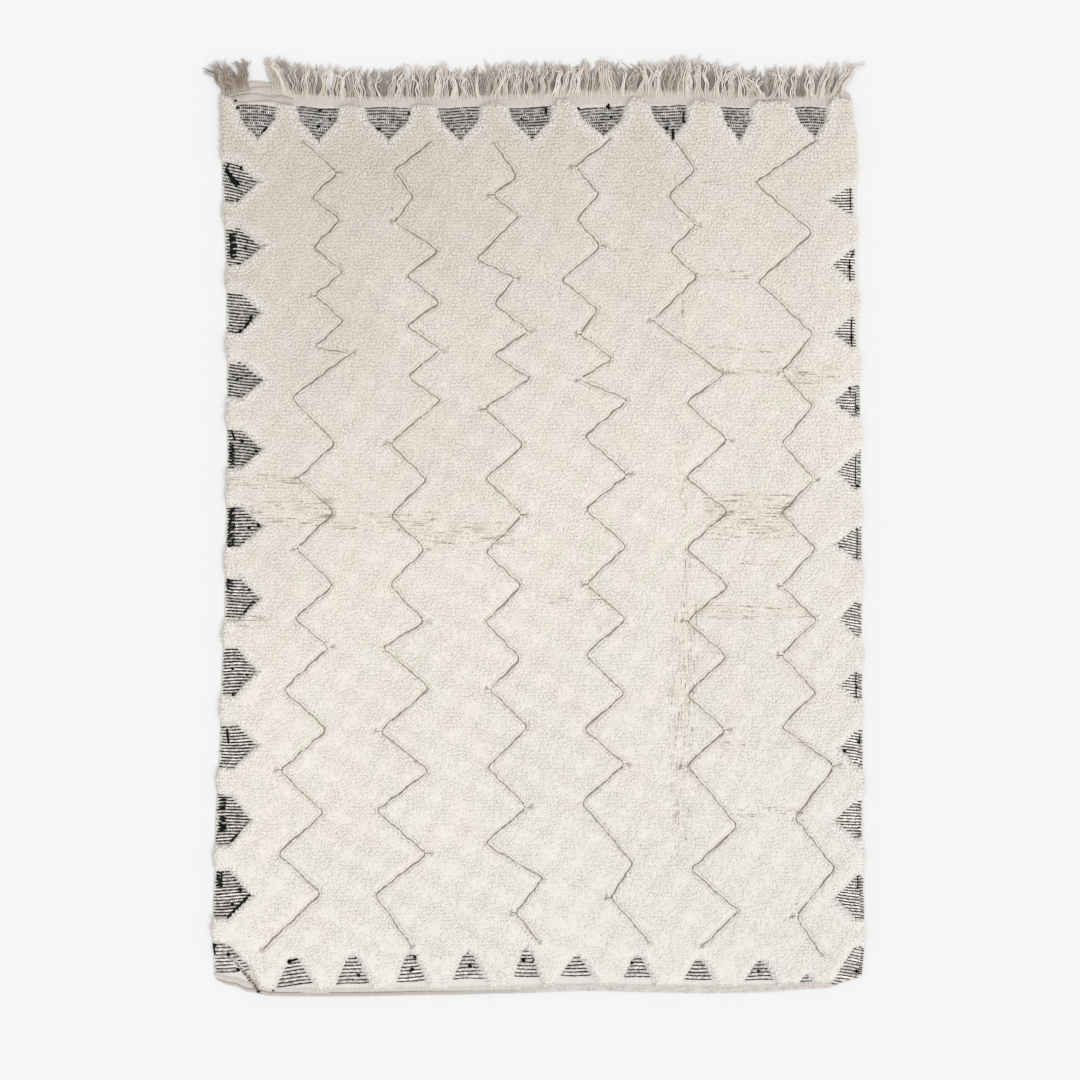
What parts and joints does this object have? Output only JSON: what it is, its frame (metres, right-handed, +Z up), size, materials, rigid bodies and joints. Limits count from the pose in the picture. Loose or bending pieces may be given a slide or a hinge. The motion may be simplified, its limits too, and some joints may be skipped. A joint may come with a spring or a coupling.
{
  "type": "hand-knotted wool rug",
  "caption": "Cream wool pile rug lying flat, with zigzag grooves, flat-woven triangles on its edges and a fringe at one end.",
  "frame": {"origin": "middle of the rug's bounding box on the floor, under the flat underside", "axes": "+X across the rug, +Y along it towards the fringed end, +Z up through the pile"},
  "size_m": [1.7449, 2.5139, 0.0225],
  "materials": {
    "rug_wool": "knotted undyed wool pile on a woven wool ground, matt, roughness 0.95",
    "fringe_yarn": "loose twisted warp yarn, undyed, matt, roughness 0.9"
  },
  "bodies": {
    "root": {"rug": "rug_wool", "fringe": "fringe_yarn"}
  },
  "joints": []
}
